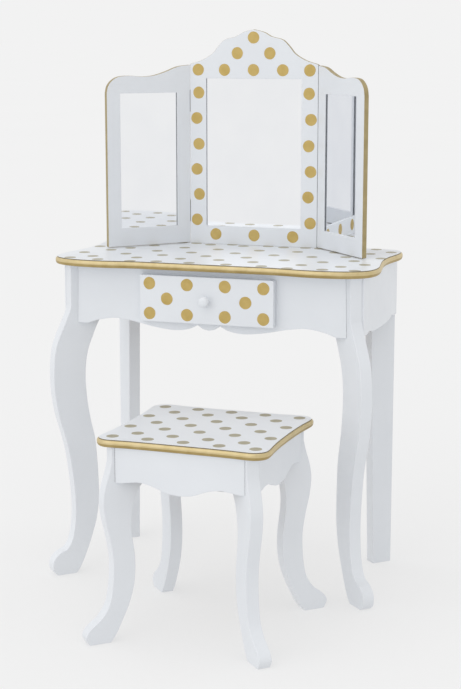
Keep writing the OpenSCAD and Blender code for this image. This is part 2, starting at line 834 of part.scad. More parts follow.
// Wing, in its own place: local X from its hinge edge, local Y = -frame_t at its front
module in_wing() { translate([edge_gap, -frame_t, wing_lift]) children(); }
function wing_outline() =
    concat([[0, 0]], smooth(fitted(wing_top, wing_w, wing_knot_w, -wing_lift)), [[wing_w, 0]]);
module wing_fasteners(hole) {
    in_wing() clip_screws(wing_open_in, wing_open_out, wing_open_low, wing_open_high, hole);
    for (h = hinge_heights, z = [-leaf_screw_z, leaf_screw_z])
        translate([leaf_screw_x, leaf_t, h + z]) rotate([-90, 0, 0])
            screw_or_hole(frame_screw_l, hole);
}
module wing_frame(side) {
    color(white) at_wing(side) difference() {
        in_wing() difference() {
            upright_board(wing_outline(), frame_t);
            frame_opening(wing_open_in, wing_open_out, wing_open_low, wing_open_high);
        }
        wing_fasteners(true);
    }
}
module wing_glass(side) {
    color(silver) at_wing(side) in_wing()
        rabbet_sheet(wing_open_in, wing_open_out, wing_open_low, wing_open_high,
            frame_t - rabbet_deep, glass_t);
}
module wing_backing(side) {
    color(hardboard) at_wing(side) in_wing()
        rabbet_sheet(wing_open_in, wing_open_out, wing_open_low, wing_open_high,
            frame_t - rabbet_deep + glass_t, rabbet_deep - glass_t);
}
module wing_clips(side) {
    color(steel) at_wing(side) in_wing()
        clip_places(wing_open_in, wing_open_out, wing_open_low, wing_open_high) clip();
}
module wing_hinge_leaves(side) {
    color(brass) at_wing(side) at_hinges() hinge_leaf([0], [-1, 1]);
}
module wing_screws(side) { color(steel) at_wing(side) wing_fasteners(false); }
module left_wing_frame() { wing_frame(-1); }
module left_wing_glass() { wing_glass(-1); }
module left_wing_backing() { wing_backing(-1); }
module left_wing_clips() { wing_clips(-1); }
module left_hinge_leaves() { wing_hinge_leaves(-1); }
module left_wing_screws() { wing_screws(-1); }
module right_wing_frame() { wing_frame(1); }
module right_wing_glass() { wing_glass(1); }
module right_wing_backing() { wing_backing(1); }
module right_wing_clips() { wing_clips(1); }
module right_hinge_leaves() { wing_hinge_leaves(1); }
module right_wing_screws() { wing_screws(1); }

// ---- Stool ----

function seat_outline() =
    let (
        spread = stool_half - seat_knot_half,
        q = smooth(moved(seat_quarter, spread, spread)),
        right = concat([for (p = q) [p[0], -p[1]]], [for (i = [len(q) - 2 : -1 : 0]) q[i]])
    )
    concat(right, other_side(right));
module stool_seat() {
    color(white) difference() {
        at_stool() translate([0, 0, stool_under]) linear_extrude(height = top_t)
            polygon(seat_outline());
        stool_block_screws(true);
    }
}

function stool_apron_outline() = apron_outline(stool_half, stool_under,
    smooth(fitted(stool_edge, stool_half, stool_apron_knot_x, stool_h - stool_apron_knot_h)));
module stool_apron(turn) {
    color(white) at_stool() rotate([0, 0, turn]) difference() {
        translate([0, -stool_half - stool_apron_t, 0])
            upright_board(stool_apron_outline(), stool_apron_t);
        for (x = [-1, 1]) at_corner(stool_half, stool_half, x, -1)
            mitre_cut(-x, stool_leg_t, stool_under);
    }
}
module stool_front_apron() { stool_apron(0); }
module stool_right_apron() { stool_apron(90); }
module stool_rear_apron() { stool_apron(180); }
module stool_left_apron() { stool_apron(270); }

module stool_leg(side_x, side_y) {
    color(white) stool_corner(side_x, side_y)
        leg_board(stool_leg_outline(), stool_leg_t, stool_ear, stool_under, stool_bolt_z);
}
module stool_front_left_leg() { stool_leg(-1, -1); }
module stool_front_right_leg() { stool_leg(1, -1); }
module stool_rear_left_leg() { stool_leg(-1, 1); }
module stool_rear_right_leg() { stool_leg(1, 1); }

module every_stool_corner() { for (x = [-1, 1], y = [-1, 1]) stool_corner(x, y) children(); }
module stool_corner_blocks() {
    color(plywood) every_stool_corner()
        corner_block(stool_ear, stool_block_h, stool_under, stool_bolt_z);
}
module stool_block_screws(hole) {
    every_stool_corner() block_screws(stool_ear, stool_block_h, stool_under, hole);
}
module stool_seat_screws() { color(steel) stool_block_screws(false); }
module stool_leg_bolts() {
    color(steel) every_stool_corner() for (z = stool_bolt_z) translate([0, 0, z])
        leg_bolt(stool_ear);
}
module stool_barrel_nuts() {
    color(steel) every_stool_corner() for (z = stool_bolt_z) translate([0, 0, z])
        barrel_nut(stool_ear);
}

table_top();
front_apron();
rear_apron();
left_apron();
right_apron();
front_left_leg();
front_right_leg();
rear_left_leg();
rear_right_leg();
corner_blocks();
leg_bolts();
leg_barrel_nuts();
top_screws();
left_runner();
right_runner();
runner_screws();
drawer_front();
drawer_inner_front();
drawer_left_side();
drawer_right_side();
drawer_back();
drawer_bottom();
drawer_screws();
drawer_knob();
drawer_knob_bolt();
centre_frame();
centre_glass();
centre_backing();
centre_clips();
mirror_brackets();
mirror_screws();
fixed_hinge_leaves();
hinge_pins();
left_wing_frame();
left_wing_glass();
left_wing_backing();
left_wing_clips();
left_hinge_leaves();
left_wing_screws();
right_wing_frame();
right_wing_glass();
right_wing_backing();
right_wing_clips();
right_hinge_leaves();
right_wing_screws();
stool_seat();
stool_front_apron();
stool_rear_apron();
stool_left_apron();
stool_right_apron();
stool_front_left_leg();
stool_front_right_leg();
stool_rear_left_leg();
stool_rear_right_leg();
stool_corner_blocks();
stool_leg_bolts();
stool_barrel_nuts();
stool_seat_screws();
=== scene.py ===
"""Looks of a child's dressing table with a three-panel folding mirror and a stool.

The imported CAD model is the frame. Boards get eased or moulded edges, the top, the seat, the
drawer and the centre panel get their gilded dots, and every piece gets its own finish.
"""
import json
import math
import random

import bmesh
import bpy
from mathutils import Matrix, Vector


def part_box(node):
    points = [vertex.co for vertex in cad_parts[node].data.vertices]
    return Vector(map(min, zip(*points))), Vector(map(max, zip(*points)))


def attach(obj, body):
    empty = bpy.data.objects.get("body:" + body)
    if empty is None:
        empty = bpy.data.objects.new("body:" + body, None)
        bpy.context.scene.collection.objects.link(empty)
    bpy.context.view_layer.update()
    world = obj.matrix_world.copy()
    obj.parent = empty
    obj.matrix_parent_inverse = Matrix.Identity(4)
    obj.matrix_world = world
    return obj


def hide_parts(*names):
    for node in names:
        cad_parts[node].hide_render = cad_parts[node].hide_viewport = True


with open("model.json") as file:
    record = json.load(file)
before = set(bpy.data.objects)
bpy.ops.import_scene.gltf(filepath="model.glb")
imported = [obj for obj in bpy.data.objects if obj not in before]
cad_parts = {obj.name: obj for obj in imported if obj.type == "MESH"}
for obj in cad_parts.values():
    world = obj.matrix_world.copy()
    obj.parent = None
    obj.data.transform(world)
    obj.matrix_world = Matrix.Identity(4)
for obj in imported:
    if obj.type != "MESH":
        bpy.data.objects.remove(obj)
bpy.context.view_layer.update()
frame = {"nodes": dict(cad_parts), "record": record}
MM = 0.001
BODY_OF = {n: body for body, nodes in frame["record"]["behaviour"]["bodies"].items() for n in nodes}

# ---- Sizes and places ----

EASED = 1.1 * MM          # round-over on the painted boards
RAW_EASED = 0.5 * MM      # on the bare boards inside
FRAME_EASED = 0.6 * MM    # on the mirror frames
SHORTEST_EASED = 30 * MM  # sharp edges that are less across, such as holes, stay sharp
GLASS_LEAN = 0.012        # slope of the mirrors in their frames
REBATE_SHOWN = 1.3 * MM   # white part of the walls of a mirror frame's opening
SEAM_REACH = 20 * MM      # length of an apron's end that holds its mitred faces
UPRIGHT_DOT = 11.2 * MM   # radius of the dots on the drawer and the mirror
LEVEL_DOT = 10.4 * MM     # radius of the dots on the top and the seat
DOT_SIDES = 44            # straight sides that make up a dot's rim
DOT_PROUD = 0.15 * MM     # how far a dot's face stands above its board
DOT_SUNK = 0.1 * MM       # how deep its back lies in the board
FOOT_CLEAR = 0.3 * MM     # gap between the dots cut off at the mirror's foot and its face
SAME_PLACE = 0.01 * MM    # points that are nearer to each other count as one
WELD_REACH = 0.005 * MM   # the same for the CAD nodes that keep their shape

# Angles at which the stool and the wings stand at rest
STOOL_TURN = math.radians(-1.6)
WING_FOLD = math.radians(46.5)
# Angles between two faces that meet
FLAT = math.radians(0.4)    # at less, they are parts of one flat side
CREASE = math.radians(35)   # at more, CAD faces have a sharp edge
SMOOTH = math.radians(40)   # at less, faces of a new piece shade as one
# Parts of a face's normal that lie along an axis
FACE_ON = 0.95              # of a face that looks along it
SIDELONG = 0.3              # at least, of a mitred end and its eased edges
UPRIGHT = 0.1               # at most, up or down, of an upright face
GILT_TURN = 0.75            # at most, to the front, where the gilding of an eased edge starts

TABLE_CENTRE_Y = (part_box("front_apron")[1].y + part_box("rear_apron")[0].y) / 2
TOP_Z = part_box("table_top")[1].z
SEAT_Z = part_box("stool_seat")[1].z
STOOL_CENTRE = sum(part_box("stool_corner_blocks"), Vector()) / 2
PANEL_FRONT_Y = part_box("centre_frame")[0].y
DRAWER_FRONT_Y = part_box("drawer_front")[0].y

# Moulded edge of the top and the seat, in mm: in from the outline, and down from the top.
# A narrow quirk leads down to a round nose of two quarter ellipses.
QUIRK = [(3.4, 0), (3.5, 0.9), (3.3, 1.4)]
NOSE_WIDEST = 6.2           # depth of the line at which the nose is widest
NOSE_UPPER = (3.2, 4.8)     # half axes of the ellipse above that line: in and down
NOSE_LOWER = (3.6, 6.8)     # and of the one below it, which ends at the board's foot
QUARTER = [math.radians(90) * i / 7 for i in range(1, 8)]
NOSE_TOP = [(NOSE_UPPER[0] * (1 - math.sin(a)), NOSE_WIDEST - NOSE_UPPER[1] * math.cos(a))
            for a in QUARTER]
NOSE_LOW = [(NOSE_LOWER[0] * (1 - math.cos(a)), NOSE_WIDEST + NOSE_LOWER[1] * math.sin(a))
            for a in QUARTER]
CAP_INSET = QUIRK[0][0] * MM

# Dots on the top, in mm from the middle of the apron box, row by row from the front
TOP_DOTS = [
    [(-262, -149), (-205, -156), (-142, -158), (-95, -149), (-33, -149), (36, -149), (101, -149),
     (151, -160), (213, -156), (269, -151)],
    [(-230, -120), (-147, -113), (-66, -104), (5, -98), (71, -104), (163, -113), (234, -112)],
    [(-266, -76), (-185, -71), (-114, -68), (-34, -56), (42, -52), (117, -64), (189, -66),
     (268, -75)],
    [(-232, -29), (-145, -15), (-76, -18), (4, -2), (80, -6), (152, -6), (238, -34)],
    [(-272, 12), (-208, 8), (-112, 44), (-43, 39), (35, 48), (108, 53), (211, 12), (276, 14)],
    [(-240, 62), (-178, 56), (-80, 101), (-14, 101), (65, 105), (134, 111), (176, 65),
     (242, 69), (274, 102)],
    [(-272, 102), (-142, 113), (-113, 113), (-40, 113), (32, 113), (106, 113)],
    [(-205, 115), (-238, 134), (205, 115), (238, 134)],
]
# Dots on the seat: rows from the rear, with five and four dots in turn
SEAT_ROWS = [117, 83, 43, 2, -37, -79, -111]
SEAT_PITCH = 62.5
# Dots on the drawer, from its middle, and on the centre panel, from the top's surface
DRAWER_DOTS = [(x * s, z) for s in (-1, 1) for x, z in
               [(35.5, 27), (106.5, 27), (35.5, -27), (106.5, -27), (73.5, 0.5)]]
PANEL_STILE_DOTS = [(110, 331), (109, 288), (113, 240), (109, 191), (113, 143), (108.5, 95),
                    (113, 46)]
PANEL_DOTS = [(s * x, z) for s in (-1, 1) for x, z in PANEL_STILE_DOTS] + [
    (-75, 19), (2, 19), (79, 19), (-57.5, 331), (0, 331), (57.5, 331), (-32, 362), (32, 362),
    (0, 391)]


# ---- Materials ----

def new_material(name):
    """A material with its node tree and its Principled shader."""
    material = bpy.data.materials.new(name)
    material.use_nodes = True
    tree = material.node_tree
    return material, tree, tree.nodes["Principled BSDF"]


def place(tree, stretch=(1, 1, 1)):
    """Object coordinates, stretched along each axis."""
    coordinates = tree.nodes.new("ShaderNodeTexCoord")
    mapping = tree.nodes.new("ShaderNodeMapping")
    mapping.inputs["Scale"].default_value = stretch
    tree.links.new(coordinates.outputs["Object"], mapping.inputs["Vector"])
    return mapping.outputs["Vector"]


def noise(tree, vector, scale, detail=3.0, roughness=0.5):
    """The value of a noise texture, scale in features per metre."""
    node = tree.nodes.new("ShaderNodeTexNoise")
    node.inputs["Scale"].default_value = scale
    node.inputs["Detail"].default_value = detail
    node.inputs["Roughness"].default_value = roughness
    tree.links.new(vector, node.inputs["Vector"])
    return node.outputs["Fac"]


def ramp(tree, value, stops):
    """Colours along a value: a list of (position, (r, g, b))."""
    node = tree.nodes.new("ShaderNodeValToRGB")
    elements = node.color_ramp.elements
    while len(elements) < len(stops):
        elements.new(0.5)
    for element, (position, colour) in zip(elements, stops):
        element.position = position
        element.color = (*colour, 1)
    tree.links.new(value, node.inputs["Fac"])
    return node.outputs["Color"]


def spread(tree, value, low, high):
    """A value from about 0.3 to 0.7, spread between two limits."""
    node = tree.nodes.new("ShaderNodeMapRange")
    node.inputs["From Min"].default_value = 0.3
    node.inputs["From Max"].default_value = 0.7
    node.inputs["To Min"].default_value = low
    node.inputs["To Max"].default_value = high
    tree.links.new(value, node.inputs["Value"])
    return node.outputs["Result"]


def bump(tree, shader, height, depth):
    """A bump whose full height is a depth in metres."""
    node = tree.nodes.new("ShaderNodeBump")
    node.inputs["Strength"].default_value = 1.0
    node.inputs["Distance"].default_value = depth
    tree.links.new(height, node.inputs["Height"])
    tree.links.new(node.outputs["Normal"], shader.inputs["Normal"])


def white_paint():
    """Satin lacquer, sprayed on fibreboard: faint clouds and a fine orange peel."""
    material, tree, shader = new_material("white_paint")
    clouds = noise(tree, place(tree), 9, 4)
    stops = [(0.35, (0.728, 0.752, 0.786)), (0.65, (0.748, 0.772, 0.804))]
    tree.links.new(ramp(tree, clouds, stops), shader.inputs["Base Color"])
    peel = noise(tree, place(tree), 650, 2)
    tree.links.new(spread(tree, noise(tree, place(tree), 40, 4), 0.30, 0.40),
                   shader.inputs["Roughness"])
    bump(tree, shader, peel, 0.02 * MM)
    shader.inputs["Specular IOR Level"].default_value = 0.4
    return material


def gold_paint(name, dark, light, roughness, metallic):
    """Gilt paint: metal flakes in varnish, a little cloudy."""
    material, tree, shader = new_material(name)
    brushed = noise(tree, place(tree), 60, 4, 0.55)
    tree.links.new(ramp(tree, brushed, [(0.32, dark), (0.68, light)]), shader.inputs["Base Color"])
    flakes = noise(tree, place(tree), 1400, 2)
    tree.links.new(spread(tree, brushed, roughness - 0.07, roughness + 0.07),
                   shader.inputs["Roughness"])
    bump(tree, shader, flakes, 0.03 * MM)
    shader.inputs["Metallic"].default_value = metallic
    return material


def mirror_glass():
    """Silvered glass with a trace of haze, which leans a little forward in its rebate."""
    material, tree, shader = new_material("mirror_glass")
    surface = tree.nodes.new("ShaderNodeNewGeometry")
    lean = tree.nodes.new("ShaderNodeVectorMath")
    lean.inputs[1].default_value = (0, 0, -GLASS_LEAN)
    tree.links.new(surface.outputs["Normal"], lean.inputs[0])
    tree.links.new(lean.outputs["Vector"], shader.inputs["Normal"])
    haze = noise(tree, place(tree), 14, 3)
    tree.links.new(ramp(tree, haze, [(0.3, (0.915, 0.925, 0.945)), (0.7, (0.940, 0.948, 0.962))]),
                   shader.inputs["Base Color"])
    tree.links.new(spread(tree, noise(tree, place(tree), 55, 4), 0.012, 0.03),
                   shader.inputs["Roughness"])
    shader.inputs["Metallic"].default_value = 1.0
    return material


def gap_painted_shade():
    """Painted shade: a dark colour laid in the gap beside the glass, in the wings' seams and on the
    aprons' mitred ends, where shade falls, faintly mottled.
    """
    material, tree, shader = new_material("gap_painted_shade")
    shade_mottle = noise(tree, place(tree, (1, 1, 0.2)), 120, 4)
    tree.links.new(ramp(tree, shade_mottle, [(0.3, (0.060, 0.066, 0.075)), (0.7, (0.10, 0.108, 0.12))]),
                   shader.inputs["Base Color"])
    tree.links.new(spread(tree, shade_mottle, 0.5, 0.7), shader.inputs["Roughness"])
    return material


def hardboard():
    """Brown pressed fibre, smooth on one side, with fine dark specks."""
    material, tree, shader = new_material("hardboard")
    fibres = noise(tree, place(tree), 900, 6, 0.7)
    tree.links.new(ramp(tree, fibres, [(0.30, (0.10, 0.055, 0.026)), (0.52, (0.19, 0.11, 0.055)),
                                       (0.72, (0.28, 0.175, 0.10))]),
                   shader.inputs["Base Color"])
    tree.links.new(spread(tree, noise(tree, place(tree), 60, 3), 0.45, 0.62),
                   shader.inputs["Roughness"])
    bump(tree, shader, fibres, 0.05 * MM)
    return material


def plywood(along):
    """Birch ply with its grain along one axis: long streaks and fine pores."""
    stretch = {"x": (0.06, 1, 1), "y": (1, 0.06, 1), "z": (1, 1, 0.06)}[along]
    material, tree, shader = new_material("plywood_" + along)
    grain = noise(tree, place(tree, stretch), 240, 6, 0.62)
    tree.links.new(ramp(tree, grain, [(0.30, (0.46, 0.31, 0.17)), (0.5, (0.60, 0.44, 0.27)),
                                      (0.72, (0.70, 0.55, 0.37))]),
                   shader.inputs["Base Color"])
    tree.links.new(spread(tree, grain, 0.68, 0.5), shader.inputs["Roughness"])
    bump(tree, shader, grain, 0.06 * MM)
    return material


def plated_metal(name, dark, light, roughness):
    """Plated steel or brass, with fine rubbed lines and faint stains."""
    material, tree, shader = new_material(name)
    stains = noise(tree, place(tree), 160, 4)
    tree.links.new(ramp(tree, stains, [(0.3, dark), (0.7, light)]), shader.inputs["Base Color"])
    rubbed = noise(tree, place(tree, (1, 1, 12)), 500, 3)
    tree.links.new(spread(tree, rubbed, roughness - 0.08, roughness + 0.1),
                   shader.inputs["Roughness"])
    bump(tree, shader, rubbed, 0.01 * MM)
    shader.inputs["Metallic"].default_value = 1.0
    return material


WHITE = white_paint()
# One gilt paint on the moulded nose, in lit and shaded copies: a lighter one that paints a
# highlight on the nose's upper half, and a darker one that paints shade on its lower half
GOLD_NOSE_PAINTED_HIGHLIGHT = gold_paint("gold_nose_painted_highlight", (0.58, 0.46, 0.23), (0.67, 0.55, 0.31), 0.38, 0.6)
GOLD_UNDER_PAINTED_SHADE = gold_paint("gold_under_painted_shade", (0.37, 0.265, 0.095), (0.46, 0.345, 0.145), 0.42, 0.6)
# A near-black copy of the gilt that paints the shade in the narrow quirk
GOLD_QUIRK_PAINTED_SHADE = gold_paint("gold_quirk_painted_shade", (0.16, 0.13, 0.08), (0.22, 0.19, 0.13), 0.6, 0.2)
GOLD_EDGE = gold_paint("gold_edge", (0.34, 0.27, 0.13), (0.42, 0.34, 0.18), 0.42, 0.5)
GOLD_DOT = gold_paint("gold_dot", (0.475, 0.34, 0.105), (0.55, 0.405, 0.145), 0.42, 0.6)
# The gilt of the level dots, painted greyer and duller: a painted reflection of the pale room
GOLD_LEVEL_PAINTED_REFLECTION = gold_paint("gold_level_painted_reflection", (0.37, 0.34, 0.245), (0.44, 0.405, 0.30), 0.5, 0.25)
GLASS = mirror_glass()
# Painted shade for the gaps beside the glass and the seams
PAINTED_GAP_SHADE = gap_painted_shade()
HARDBOARD = hardboard()
PLYWOOD = {axis: plywood(axis) for axis in "xyz"}
STEEL = plated_metal("steel", (0.46, 0.47, 0.49), (0.62, 0.63, 0.65), 0.30)
BRASS = plated_metal("brass", (0.55, 0.39, 0.15), (0.72, 0.55, 0.25), 0.28)


# ---- Meshes ----

def clean_copy(node):
    """A CAD node's mesh with shared corners and one face for each flat side."""
    mesh = bmesh.new()
    mesh.from_mesh(frame["nodes"][node].data)
    bmesh.ops.remove_doubles(mesh, verts=mesh.verts, dist=SAME_PLACE)
    bmesh.ops.dissolve_limit(mesh, angle_limit=FLAT, use_dissolve_boundaries=False,
                             verts=mesh.verts, edges=mesh.edges)
    bmesh.ops.recalc_face_normals(mesh, faces=mesh.faces)
    return mesh


def sharp_runs(mesh):
    """The sharp edges, without the short runs, such as screw holes' rims."""
    sharp = dict.fromkeys(e for e in mesh.edges
                          if e.is_manifold and e.calc_face_angle() > CREASE)
    kept = []
    while sharp:
        run, ends = [], [sharp.popitem()[0]]
        while ends:
            edge = ends.pop()
            run.append(edge)
            for vert in edge.verts:
                for other in vert.link_edges:
                    if other in sharp:
                        del sharp[other]
                        ends.append(other)
        points = [v.co for e in run for v in e.verts]
        across = max(max(p[i] for p in points) - min(p[i] for p in points) for i in range(3))
        if across > SHORTEST_EASED:
            kept.extend(run)
    return kept


def add_piece(name, mesh, materials, body):
    """An object made from a bmesh, with its creases kept, that rides on a body."""
    data = bpy.data.meshes.new(name)
    mesh.to_mesh(data)
    mesh.free()
    for material in materials:
        data.materials.append(material)
    data.polygons.foreach_set("use_smooth", [True] * len(data.polygons))
    data.set_sharp_from_angle(angle=SMOOTH)
    piece = bpy.data.objects.new(name, data)
    bpy.context.scene.collection.objects.link(piece)
    weighted = piece.modifiers.new("flat_faces", "WEIGHTED_NORMAL")
    weighted.keep_sharp = True
    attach(piece, body)
    return piece


def stand_for(piece, node):
    """Hides the CAD node whose place the piece takes."""
    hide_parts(node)


def eased_board(node, material, width=EASED, paint=None):
    """A board with its edges rounded over. paint may add gilt or painted shade to some faces."""
    mesh = clean_copy(node)
    bmesh.ops.bevel(mesh, geom=sharp_runs(mesh), offset=width, offset_type="OFFSET", segments=3,
                    profile=0.5, affect="EDGES", clamp_overlap=False, loop_slide=False)
    materials = [material]
    if paint:
        materials += paint(mesh)
    stand_for(add_piece(node + "_board", mesh, materials, BODY_OF[node]), node)


def seam_painted_shade(mesh):
    """Gives a front apron's mitred ends, where they meet the legs, painted shade as dark as a gap.
    """
    ends = min(v.co.x for v in mesh.verts), max(v.co.x for v in mesh.verts)
    for face in mesh.faces:
        from_end = min(abs(face.calc_center_median().x - x) for x in ends)
        upright = abs(face.normal.z) < UPRIGHT
        if from_end < SEAM_REACH and upright and abs(face.normal.x) > SIDELONG:
            face.material_index = 1
    return [PAINTED_GAP_SHADE]


def outline_of(node, height):
    """The outline of a flat board at a height, anticlockwise as seen from above."""
    mesh = clean_copy(node)
    level = [f for f in mesh.faces if abs(f.normal.z) > FACE_ON
             and abs(f.calc_center_median().z - height) < 10 * SAME_PLACE]
    rim = dict.fromkeys(e for f in level for e in f.edges
                        if sum(g in level for g in e.link_faces) == 1)
    loops = []
    while rim:
        edge = rim.popitem()[0]
        start, end = edge.verts
        loop = [start, end]
        while end is not start:
            edge = next((e for e in end.link_edges if e in rim), None)
            if edge is None:
                break
            del rim[edge]
            end = edge.other_vert(end)
            loop.append(end)
        loops.append([v.co.xy.copy() for v in loop[:-1]])
    mesh.free()
    outline = max(loops, key=lambda loop: sum((a - b).length for a, b in zip(loop, loop[1:])))
    area = sum(a.cross(b) for a, b in zip(outline, outline[1:] + outline[:1]))
    return outline if area > 0 else outline[::-1]


def inset(outline, distance):
    """An anticlockwise outline moved in by a distance, with mitred corners."""
    moved = []
    count = len(outline)
    for i, point in enumerate(outline):
        before = (point - outline[i - 1]).normalized()
        after = (outline[(i + 1) % count] - point).normalized()
        inward = Vector((-before.y - after.y, before.x + after.x)).normalized()
        mitre = max(inward.dot(Vector((-before.y, before.x))), 0.5)
        moved.append(point + inward * (distance / mitre))
    return moved


def moulded_board(node):
    """A flat board with a stepped round nose, gilded, round its white top face. The gilding carries
    a painted highlight on the nose's upper half and painted shade on its lower half and in the
    quirk.
    """
    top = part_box(node)[1].z
    outline = outline_of(node, top)
    mesh = bmesh.new()
    rings = []
    for depth_in, depth_down in QUIRK + NOSE_TOP + NOSE_LOW:
        ring = inset(outline, depth_in * MM) if depth_in > 0 else outline
        rings.append([mesh.verts.new((p.x, p.y, top - depth_down * MM)) for p in ring])
    mesh.faces.new(rings[0]).material_index = 0
    mesh.faces.new(rings[-1][::-1]).material_index = 0
    # Painted light on the gilding: the quirk takes painted shade, the nose's upper half a painted
    # highlight, its lower half painted shade
    bands = [3] * (len(QUIRK) - 1) + [1] * (len(NOSE_TOP) + 1) + [2] * (len(NOSE_LOW) - 1)
    for upper, lower, band in zip(rings, rings[1:], bands):
        for i in range(len(upper)):
            face = mesh.faces.new((upper[i - 1], lower[i - 1], lower[i], upper[i]))
            face.material_index = band
    bmesh.ops.recalc_face_normals(mesh, faces=mesh.faces)
    paints = [WHITE, GOLD_NOSE_PAINTED_HIGHLIGHT, GOLD_UNDER_PAINTED_SHADE, GOLD_QUIRK_PAINTED_SHADE]
    stand_for(add_piece(node + "_board", mesh, paints, BODY_OF[node]), node)


def kept_node(node, material):
    """A CAD node that keeps its shape, with its round faces shaded smooth."""
    thing = frame["nodes"][node]
    thing.data.materials.clear()
    thing.data.materials.append(material)
    thing.data.polygons.foreach_set("use_smooth", [True] * len(thing.data.polygons))
    weld = thing.modifiers.new("shared_corners", "WELD")
    weld.merge_threshold = WELD_REACH
    split = thing.modifiers.new("creases", "EDGE_SPLIT")
    split.split_angle = CREASE


# ---- Mirror frames ----

def panel_paint(glass, facing, outward):
    """Gilds a mirror frame's outer edge. Its hinge sides and the inner part of one upright
    wall of its opening get painted shade, as dark as a gap. outward is the free side's direction:
    1, -1 or 0."""
    along = Vector((0, 0, 1)).cross(facing)
    low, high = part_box(glass)
    corners = [v.co for v in frame["nodes"][glass].data.vertices]
    ends = min(c.dot(along) for c in corners), max(c.dot(along) for c in corners)

    def paint(mesh):
        shown = max(v.co.dot(facing) for v in mesh.verts) - REBATE_SHOWN
        everything = mesh.verts[:] + mesh.edges[:] + mesh.faces[:]
        bmesh.ops.bisect_plane(mesh, geom=everything, plane_co=facing * shown, plane_no=facing)
        for face in mesh.faces:
            centre = face.calc_center_median()
            frontal = abs(face.normal.dot(facing))
            if frontal > FACE_ON:
                continue
            inside = ends[0] < centre.dot(along) < ends[1] and low.z < centre.z < high.z
            sideways = face.normal.dot(along)
            if inside:
                # Painted shade on the inner part of the opening's wall beside the glass
                if sideways * (outward or 1) > FACE_ON and centre.dot(facing) < shown:
                    face.material_index = 2
            # Painted shade on the hinge sides, as dark as the seam
            elif abs(face.normal.z) < UPRIGHT and (outward == 0 or sideways * outward < 0):
                face.material_index = 2
            elif frontal < GILT_TURN:
                face.material_index = 1
        return [GOLD_EDGE, PAINTED_GAP_SHADE]

    return paint


def add_mirrors():
    """The three panels with their glass, backings, clips, brackets and hinges."""
    for side, outward in (("centre", 0), ("left_wing", -1), ("right_wing", 1)):
        facing = Matrix.Rotation(-outward * WING_FOLD, 3, "Z") @ Vector((0, -1, 0))
        eased_board(side + "_frame", WHITE, FRAME_EASED,
                    panel_paint(side + "_glass", facing, outward))
        kept_node(side + "_glass", GLASS)
        kept_node(side + "_backing", HARDBOARD)
        kept_node(side + "_clips", STEEL)
    for node in ("mirror_brackets", "mirror_screws", "left_wing_screws", "right_wing_screws"):
        kept_node(node, STEEL)
    for node in ("fixed_hinge_leaves", "hinge_pins", "left_hinge_leaves", "right_hinge_leaves"):
        kept_node(node, BRASS)


# ---- Dots ----

def dot_outline(centre, radius, shape):
    """A hand-stamped round, a little uneven, anticlockwise."""
    phases = [shape.uniform(0, math.tau) for _ in range(2)]
    points = []
    for i in range(DOT_SIDES):
        angle = math.tau * i / DOT_SIDES
        wobble = 0.012 * math.sin(2 * angle + phases[0]) + 0.008 * math.sin(5 * angle + phases[1])
        reach = radius * (1 + wobble)
        points.append(centre + Vector((math.cos(angle), math.sin(angle))) * reach)
    return points


def clipped(outline, window):
    """The part of an outline inside a convex window, both anticlockwise."""
    for i, corner in enumerate(window):
        along = corner - window[i - 1]
        side = [along.cross(p - window[i - 1]) for p in outline]
        kept = []
        for j, point in enumerate(outline):
            if (side[j] > 0) != (side[j - 1] > 0):
                share = side[j - 1] / (side[j - 1] - side[j])
                kept.append(outline[j - 1].lerp(point, share))
            if side[j] > 0:
                kept.append(point)
        outline = kept
        if not outline:
            return []
    return outline


def without_doubles(points):
    """An outline without the points that lie on the one before."""
    return [p for i, p in enumerate(points) if (p - points[i - 1]).length > SAME_PLACE]


def add_dots(name, body, places, to_frame, limit=None):
    """Thin gilt rounds at places in mm on a plane. A level board's are a little smaller, and
    are cut off at its limit outline."""
    shape = random.Random(name)
    # Level dots take the copy of the gilt with the painted reflection
    radius, paint = (LEVEL_DOT, GOLD_LEVEL_PAINTED_REFLECTION) if limit else (UPRIGHT_DOT, GOLD_DOT)
    mesh = bmesh.new()
    for x, y in places:
        round_dot = dot_outline(Vector((x, y)) * MM, radius, shape)
        points = without_doubles(clipped(limit, round_dot)) if limit else round_dot
        if len(points) < 3:
            continue
        upper = [mesh.verts.new(to_frame @ Vector((p.x, p.y, DOT_PROUD))) for p in points]
        lower = [mesh.verts.new(to_frame @ Vector((p.x, p.y, -DOT_SUNK))) for p in points]
        mesh.faces.new(upper)
        mesh.faces.new(lower[::-1])
        for i in range(len(points)):
            mesh.faces.new((upper[i - 1], lower[i - 1], lower[i], upper[i]))
    add_piece(name, mesh, [paint], body)


def upright_plane(x, y, z):
    """A plane that faces the front: its X to the right and its Y up."""
    return Matrix.Translation((x, y, z)) @ Matrix.Rotation(math.radians(90), 4, "X")


def board_limit(node, to_frame):
    """The edge of a moulded board's white face, in a plane's own coordinates."""
    away = to_frame.inverted()
    cap = inset(outline_of(node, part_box(node)[1].z), CAP_INSET)
    return [(away @ Vector((p.x, p.y, 0))).xy for p in cap]


def in_front_of(limit, y):
    """A limit outline cut off behind a line across it."""
    far = 1.0   # well past the outline
    window = [Vector((-far, -far)), Vector((far, -far)), Vector((far, y)), Vector((-far, y))]
    return clipped(limit, window)


